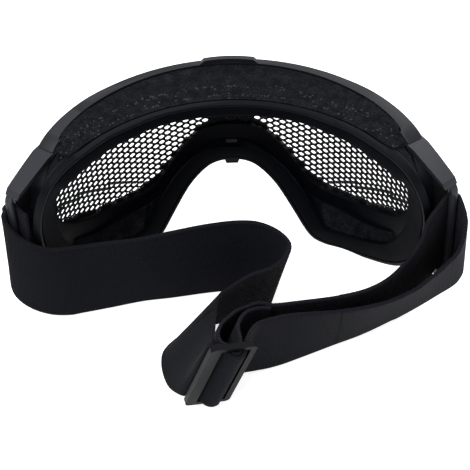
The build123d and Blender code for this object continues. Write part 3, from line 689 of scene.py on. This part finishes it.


# Vent foams: open-cell foam, cut from sheet, in the brow recess and behind the lower vents.
# The cut cells show as a dark speckle with small bright edges: painted shade in each cell's hollow, paler at its rim.
def foam_finish(name, rows):
    """Open-cell foam; pale specks of the frame's vent ribs glint through it in rows: radius, half width, rarity"""
    material, tree, shader = new_material(name)
    shader.inputs["Roughness"].default_value = 0.95
    shader.inputs["Specular IOR Level"].default_value = 0.08
    place = add(tree, "ShaderNodeTexCoord").outputs["Object"]
    # Cells are 0.9 mm across, drawn larger than the real 0.5 mm so that they show
    cells = add(tree, "ShaderNodeTexVoronoi", {"feature": "F1"}, {"Scale": 1 / 0.0009, "Vector": place})
    clouds = add(tree, "ShaderNodeTexNoise", inputs={"Scale": 1 / 0.004, "Detail": 4.0, "Vector": place})
    # Each cell is painted darkest at its middle and paler towards its rim: painted shade in the foam's hollows
    tone = add(tree, "ShaderNodeValToRGB", Fac=cells.outputs["Distance"])
    tone.color_ramp.elements[0].color = linear("040507")
    tone.color_ramp.elements[1].color = linear("17181C")
    tone.color_ramp.elements[1].position = 0.75
    mottle = add(tree, "ShaderNodeMapRange",
                 inputs={"Value": clouds, "From Min": 0.35, "From Max": 0.65, "To Min": 0.5, "To Max": 1.3})
    colour = add(tree, "ShaderNodeVectorMath", {"operation": "SCALE"}, {0: tone, "Scale": mottle}).outputs[0]
    # Distance from the head's upright axis, 42.6 mm behind the middle of the whole
    level = add(tree, "ShaderNodeVectorMath", {"operation": "MULTIPLY"}, {0: place, 1: (1, 1, 0)})
    reach = add(tree, "ShaderNodeVectorMath", {"operation": "DISTANCE"}, {0: level, 1: (-0.00106, -0.04259, 0)})
    grains = add(tree, "ShaderNodeTexVoronoi", {"feature": "F1"}, {"Scale": 1 / 0.0011, "Vector": place})
    chance = add(tree, "ShaderNodeSeparateColor", Color=grains.outputs["Color"])
    for radius, half, rarity in rows:
        near = figure(tree, "COMPARE", reach.outputs["Value"], radius, half)
        picked = figure(tree, "GREATER_THAN", chance, rarity)
        small = figure(tree, "LESS_THAN", grains.outputs["Distance"], 0.42)
        speck = figure(tree, "MULTIPLY", figure(tree, "MULTIPLY", near, picked), small)
        colour = mixed(tree, speck, colour, linear("303136"))
    tree.links.new(colour, shader.inputs["Base Color"])
    bump = add(tree, "ShaderNodeBump",
               inputs={"Strength": 0.9, "Distance": 0.0004, "Height": cells.outputs["Distance"]})
    tree.links.new(bump.outputs[0], shader.inputs["Normal"])
    return material


brow_foam = foam_finish("open-cell black foam over the vents",
                        [(0.0880, 0.0008, 0.55), (0.0832, 0.0006, 0.55), (0.0855, 0.0045, 0.93)])
pad = dressed("brow_vent_foam", "frame", brow_foam, 0.0004, sharp=40)
pad.name = "brow_foam"
pad.data.name = "brow_foam"
cheek_foam = foam_finish("open-cell black foam", [])
# Each cheek pad lies 0.3 mm inside the wall and covers it with the three vents
rows = [wall_band(place, root_back, wall, flange_width, (0.12, 0.97), (0.0003, 0.0028)) for place in places]
for side in ("left", "right"):
    pad = swept(f"cheek_foam_{side}", rows, 0.0005, (8, 14))
    if side == "left":
        mirrored(pad)
    shown(pad, f"cheek_vent_foam_{side}", "frame", cheek_foam, 0, sharp=50)

# Strap clips: C-shaped mouldings that swivel on the pins and hold the strap on a round bar.
# They are moulded in a paler grey plastic than the frame.
clip_plastic = moulded("satin grey moulded clip", "26272C", 0.42, 0.2, edge_highlight="45464D", specular=0.18)
for side in ("left", "right"):
    dressed(f"strap_clip_{side}", f"clip_{side}", clip_plastic, 0.0004)


# Strap: woven elastic webbing 40 mm wide, ribbed outside and smoother inside, with a sewn edge line.
# Each end is folded round a bar and sewn; the folds follow the way it lies on the table.
def wave(tree, run, length):
    """Sine along a run whose units are 10 mm, with that many mm from crest to crest"""
    return figure(tree, "SINE", figure(tree, "MULTIPLY", run, 2 * pi * 10 / length))


def webbing_finish(name, code, dark, selvedge, weave_depth):
    """Woven elastic: picks across it, shallow ribs along it, a selvedge yarn and a row of needle loops inside it"""
    material, tree, shader = new_material(name)
    shader.inputs["Roughness"].default_value = 0.9
    shader.inputs["Specular IOR Level"].default_value = 0.08
    shader.inputs["Sheen Weight"].default_value = 0.02
    shader.inputs["Sheen Roughness"].default_value = 0.4
    # The run's units are 10 mm: X along the webbing, Y across its 40 mm
    run = add(tree, "ShaderNodeSeparateXYZ", Vector=add(tree, "ShaderNodeUVMap", {"uv_map": "run"}))
    along, across = run.outputs["X"], run.outputs["Y"]
    inside = figure(tree, "MINIMUM", across, figure(tree, "SUBTRACT", 4.0, across))
    # Picks every 0.85 mm and ribs every 1.3 mm, a little coarser than the real 0.6 mm so that they show
    weave = figure(tree, "MULTIPLY_ADD", wave(tree, across, 1.3), 0.45, wave(tree, along, 0.85))
    place = add(tree, "ShaderNodeTexCoord").outputs["Object"]
    # Fluff of the yarn, about 1 mm, and slow clouds 15 mm across where the elastic has stretched
    fuzz = add(tree, "ShaderNodeTexNoise", inputs={"Scale": 1 / 0.0011, "Detail": 3.0, "Vector": place})
    cloud = add(tree, "ShaderNodeTexNoise", inputs={"Scale": 1 / 0.015, "Detail": 2.0, "Vector": place})
    rough = figure(tree, "MULTIPLY_ADD", fuzz, 2.4, weave)
    # Needle loops: dark gaps 1.4 mm apart in a row 1 mm wide, 1.9 mm inside each edge; the yarn outside is 0.55 mm
    row = figure(tree, "COMPARE", inside, 0.19, 0.05)
    loops = figure(tree, "MULTIPLY", row, figure(tree, "GREATER_THAN", wave(tree, along, 1.4), 0.1))
    yarn = figure(tree, "LESS_THAN", inside, 0.055)
    sunk = figure(tree, "MULTIPLY_ADD", loops, -3.0, rough)
    bump = add(tree, "ShaderNodeBump", inputs={"Strength": 0.8, "Distance": weave_depth, "Height": sunk})
    tree.links.new(bump.outputs[0], shader.inputs["Normal"])
    level = add(tree, "ShaderNodeMapRange", inputs={"Value": rough, "From Min": 0.1, "From Max": 2.3})
    shade = figure(tree, "ADD", level, figure(tree, "MULTIPLY_ADD", cloud, 0.8, -0.4))
    body = mixed(tree, shade, linear(dark), linear(code))
    edged = mixed(tree, yarn, body, linear(selvedge))
    tree.links.new(mixed(tree, loops, edged, linear("050506")), shader.inputs["Base Color"])
    return material


webbing_width = 0.040
webbing_thickness = 0.0014
least_height = 0.0008


def between(t, start, leaving, end, arriving):
    """Point of a smooth curve from start to end that leaves and arrives with these slopes"""
    return (start * (2 * t**3 - 3 * t**2 + 1) + leaving * (t**3 - 2 * t**2 + t)
            + end * (3 * t**2 - 2 * t**3) + arriving * (t**3 - t**2))


def ribbon(name, rows):
    """Flat webbing through cross-lines, and the length along it of each; its rows follow a smooth curve through them"""
    rows = [(Vector(row[:3]) / 1000, Vector(row[3:]).normalized()) for row in rows]
    dense = []
    marks = []
    for i in range(len(rows) - 1):
        marks.append(len(dense))
        around = [rows[max(i - 1, 0)], rows[i], rows[i + 1], rows[min(i + 2, len(rows) - 1)]]
        gaps = [max((around[k + 1][0] - around[k][0]).length, 1e-6) ** 0.5 for k in range(3)]
        count = max(2, min(12, round((rows[i + 1][0] - rows[i][0]).length / 0.0012)))
        for n in range(count):
            point = []
            for which in (0, 1):
                a, b, c, d = (r[which] for r in around)
                middle = (c - b) / gaps[1]
                before = (b - a) / gaps[0] if i else middle
                after = (d - c) / gaps[2] if i + 2 < len(rows) else middle
                leaving = (before * gaps[1] + middle * gaps[0]) / (gaps[0] + gaps[1]) * gaps[1]
                arriving = (middle * gaps[2] + after * gaps[1]) / (gaps[1] + gaps[2]) * gaps[1]
                point.append(between(n / count, b, leaving, c, arriving))
            dense.append((point[0], point[1].normalized()))
    marks.append(len(dense))
    dense.append(rows[-1])
    lengths = [0.0]
    for (a, lean_a), (b, lean_b) in zip(dense, dense[1:]):
        lengths.append(lengths[-1] + ((b + lean_b * webbing_width / 2) - (a + lean_a * webbing_width / 2)).length)
    across = 24
    bm = bmesh.new()
    bmesh.ops.create_grid(bm, x_segments=across, y_segments=len(dense) - 1, size=1)
    uv = bm.loops.layers.uv.new("run")
    for vert in bm.verts:
        v = (vert.co.x + 1) / 2
        k = round((vert.co.y + 1) / 2 * (len(dense) - 1))
        vert.index = k * (across + 1) + round(v * across)
        low, lean = dense[k]
        vert.co = low + lean * webbing_width * v
        vert.co.z = max(vert.co.z, least_height)
    for face in bm.faces:
        face.smooth = True
        for loop in face.loops:
            k, j = divmod(loop.vert.index, across + 1)
            loop[uv].uv = (lengths[k] * 100, j / across * webbing_width * 100)
    return laid(name, bm), [lengths[mark] for mark in marks]


def lengths_of(name, strap, ranges):
    """Copy of a webbing that keeps these ranges of its length, and 1.5 mm more at each end to lie over the next part"""
    overlap = 0.0015
    bm = bmesh.new()
    bm.from_mesh(strap.data)
    uv = bm.loops.layers.uv["run"]
    spare = []
    for face in bm.faces:
        place = sum(loop[uv].uv.x for loop in face.loops) / len(face.loops) / 100
        if not any(low - overlap < place < high + overlap for low, high in ranges):
            spare.append(face)
    bmesh.ops.delete(bm, geom=spare, context="FACES")
    return laid(name, bm)


# Cross-lines of the webbing, in mm: its lower edge, and the direction to its upper edge.
# The left strap runs from its sewn loop at the clip to the buckle; the right one from there round the right clip's
# bar and back to its sewn loop on the buckle's middle bar.
left_rows = [
    (-80.6, -2.4, 20, 0, 0, 1), (-82.7, -0.5, 20, 0, 0, 1), (-84.7, 2.5, 20, 0, 0, 1), (-85.7, 3.5, 20, 0, 0, 1),
    (-87, 3.9, 20, 0, 0, 1), (-88.4, 3.5, 20, 0, 0, 1), (-89.3, 2.5, 20, 0, 0, 1), (-89.7, 1.2, 20, 0, 0, 1),
    (-89.3, -0.2, 20, 0, 0, 1), (-90.6, -1.6, 20, 0.02, -0.02, 1), (-90.3, -3.2, 13.2, 0.1, -0.04, 0.99),
    (-85.7, -5, 7.6, 0.15, -0.03, 0.99), (-76.1, -6.1, 3, 0.1, 0.02, 0.99), (-62.9, -3.7, 0, 0.03, 0.05, 1),
    (-53.1, -1.6, 0, 0.02, 0.03, 1), (-38.8, 1.6, 0, 0, -0.01, 1), (-27.6, 2.9, 0, -0.02, 0.02, 1),
    (-8.6, 5.5, 0, -0.05, 0.06, 1), (2.1, 5.7, 0, -0.01, 0.09, 1), (8.2, 2.8, 0, 0.04, 0.14, 0.99),
    (11.9, -1.5, 0, 0.13, 0.14, 0.98), (11.7, -6, 0, 0.24, 0.11, 0.96), (9.7, -8.7, 0, 0.27, 0.04, 0.96),
    (4.8, -9.3, 0, 0.26, -0.09, 0.96), (-5.4, -10.4, 0, 0.28, -0.16, 0.95), (-17.2, -14.1, 0, 0.38, -0.18, 0.91),
    (-26, -20.3, 0, 0.49, -0.1, 0.87), (-30.1, -25.9, 0, 0.55, -0.08, 0.83), (-30.6, -31.3, 0.6, 0.55, -0.11, 0.83),
    (-29.4, -38.5, 1.4, 0.51, -0.12, 0.85), (-26.8, -45.6, 3.6, 0.44, -0.12, 0.89),
    (-21.7, -52.2, 8.3, 0.28, -0.13, 0.95), (-20, -51.7, 7.9, 0.28, -0.13, 0.95),
]
right_rows = [
    (-19.7, -51.6, 7.8, 0.28, -0.13, 0.95), (-18.6, -51.3, 7.5, 0.28, -0.13, 0.95),
    (-16.8, -51, 7, 0.28, -0.13, 0.95), (-15.7, -52.2, 6.5, 0.28, -0.13, 0.95),
    (-14.5, -54, 5.9, 0.28, -0.13, 0.95), (-12.8, -55.3, 5.3, 0.28, -0.13, 0.95),
    (-10.6, -55.3, 4.6, 0.28, -0.13, 0.95), (-8.7, -54.1, 4.3, 0.28, -0.13, 0.95),
    (-7.9, -52, 4.3, 0.28, -0.13, 0.95), (-7.6, -49.8, 4.6, 0.28, -0.13, 0.95),
    (-7.2, -48.1, 4.7, 0.28, -0.13, 0.95), (-6.6, -45.3, 4.7, 0.28, -0.13, 0.95),
    (-4.8, -42.1, 4, 0.26, -0.13, 0.96), (-0.8, -38.7, 3.2, 0.22, -0.13, 0.97),
    (5.6, -36.6, 2.2, 0.15, -0.13, 0.98), (11.9, -34.7, 1.4, 0.09, -0.14, 0.99),
    (20.5, -31.2, 0.6, 0.01, -0.18, 0.98), (38.9, -22.9, 0, 0.05, -0.32, 0.95), (49.2, -18.4, 0, 0.06, -0.37, 0.93),
    (59.6, -12.7, 0, 0, -0.43, 0.9), (72.1, -7.2, 3, -0.06, -0.47, 0.88), (81.2, -3.1, 6, -0.15, -0.49, 0.86),
    (88.1, -0.9, 10, -0.16, -0.46, 0.87), (90.2, -0.5, 14, -0.09, -0.4, 0.91),
    (90.5, -1.3, 18.6, -0.03, -0.19, 0.98), (87.6, 1.2, 20, 0, 0, 1), (87.2, 2.5, 20, 0, 0, 1),
    (86.2, 3.5, 20, 0, 0, 1), (84.9, 3.9, 20, 0, 0, 1), (83.5, 3.5, 20, 0, 0, 1), (82.8, 2.9, 20, 0, 0, 1),
    (80.8, -0, 20, -0.06, -0.09, 0.99), (79.5, -0.8, 20, -0.1, -0.17, 0.98), (77.1, -1.6, 12.8, -0.12, -0.25, 0.96),
    (71.9, -3, 5, -0.1, -0.28, 0.95), (61.4, -6.5, 0, -0.04, -0.33, 0.94), (50.9, -11.5, 0, 0.01, -0.34, 0.94),
    (39.9, -17.5, 0, 0.03, -0.28, 0.96), (23.9, -23.6, 0, 0.03, -0.2, 0.98), (11.9, -27.6, 0.8, 0.04, -0.15, 0.99),
    (7.5, -27.6, 1, 0.08, -0.13, 0.99), (2.8, -28.3, 1.4, 0.12, -0.12, 0.99), (-2, -29.6, 1.9, 0.17, -0.12, 0.98),
    (-7.9, -31.8, 2.5, 0.21, -0.12, 0.97), (-13, -34.8, 3.1, 0.25, -0.13, 0.96),
    (-16.3, -38, 3.8, 0.27, -0.13, 0.95), (-17.9, -41.6, 4.4, 0.28, -0.13, 0.95),
    (-18, -45.1, 4.9, 0.28, -0.13, 0.95), (-16.6, -48.4, 5.4, 0.28, -0.13, 0.95),
    (-13.9, -50.6, 6, 0.28, -0.13, 0.95), (-13.3, -52.3, 5.9, 0.28, -0.13, 0.95),
    (-12.4, -53.5, 5.4, 0.28, -0.13, 0.95), (-11, -53.7, 5, 0.28, -0.13, 0.95),
    (-9.8, -52.7, 4.8, 0.28, -0.13, 0.95), (-9.6, -51.2, 4.9, 0.28, -0.13, 0.95),
    (-9.7, -49.5, 5.2, 0.28, -0.13, 0.95), (-9.6, -47.2, 5.2, 0.28, -0.13, 0.95),
    (-10, -44.3, 4.9, 0.28, -0.13, 0.95), (-10.5, -40.8, 4.4, 0.28, -0.13, 0.95),
    (-9.9, -37.8, 3.8, 0.27, -0.13, 0.95), (-8, -35, 3.2, 0.25, -0.13, 0.96), (-4.4, -32.4, 2.6, 0.21, -0.13, 0.97),
    (0.1, -31.2, 2, 0.17, -0.12, 0.98), (5.9, -30.2, 1.5, 0.11, -0.13, 0.99), (11, -30, 1.2, 0.06, -0.14, 0.99),
]
outer_webbing = webbing_finish("ribbed woven elastic, outer face", "1E1E28", "050509", "16161D", 0.0003)
inner_webbing = webbing_finish("smooth woven elastic, inner face", "0F1017", "06070B", "14151C", 0.00006)
left_strap, left_marks = ribbon("left strap", left_rows)
right_strap, right_marks = ribbon("right strap", right_rows)
# The straps are split where they lie still, into the parts at the clips and those at the buckle.
# Each part's row also gives a body and two places on the way from the frame to it.
left_still = left_marks[27]
right_still = (right_marks[17], right_marks[37])
parts = [
    ("webbing_left", left_strap, [(0, left_still)], "left", "clip_left", (-0.060, 0, 0), (-0.084, 0, 0)),
    ("webbing_left_end", left_strap, [(left_still, left_marks[-1])], "left", "slider",
     (-0.030, -0.030, 0), (-0.022, -0.049, 0)),
    ("webbing_right", right_strap, [right_still], "right", "clip_right", (0.050, 0, 0), (0.079, 0, 0)),
    ("webbing_right_ends", right_strap, [(0, right_still[0]), (right_still[1], right_marks[-1])], "right", "slider",
     (0.030, -0.030, 0), (-0.006, -0.047, 0)),
]
for name, whole, ranges, side, body, start, end in parts:
    strap = lengths_of(name, whole, ranges)
    strap.data.materials.append(outer_webbing)
    strap.data.materials.append(inner_webbing)
    thick = strap.modifiers.new("webbing gauge", "SOLIDIFY")
    thick.thickness = webbing_thickness
    thick.offset = 0
    thick.material_offset = 1
    rounded = strap.modifiers.new("selvedge", "BEVEL")
    rounded.width = 0.0004
    rounded.segments = 2
    rounded.limit_method = "ANGLE"
    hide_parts(f"strap_{side}")
    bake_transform(strap)
for whole in (left_strap, right_strap):
    bpy.data.objects.remove(whole)

# Tri-glide: a flat moulded buckle with three bars, which sets the strap's length.
# It is a darker grey than the clips, with a dull satin face.
glide_plastic = moulded("satin grey moulded buckle", "0A0B0D", 0.45, 0.2, edge_highlight="232429", specular=0.05)
dressed("tri_glide", "slider", glide_plastic, 0.0005)
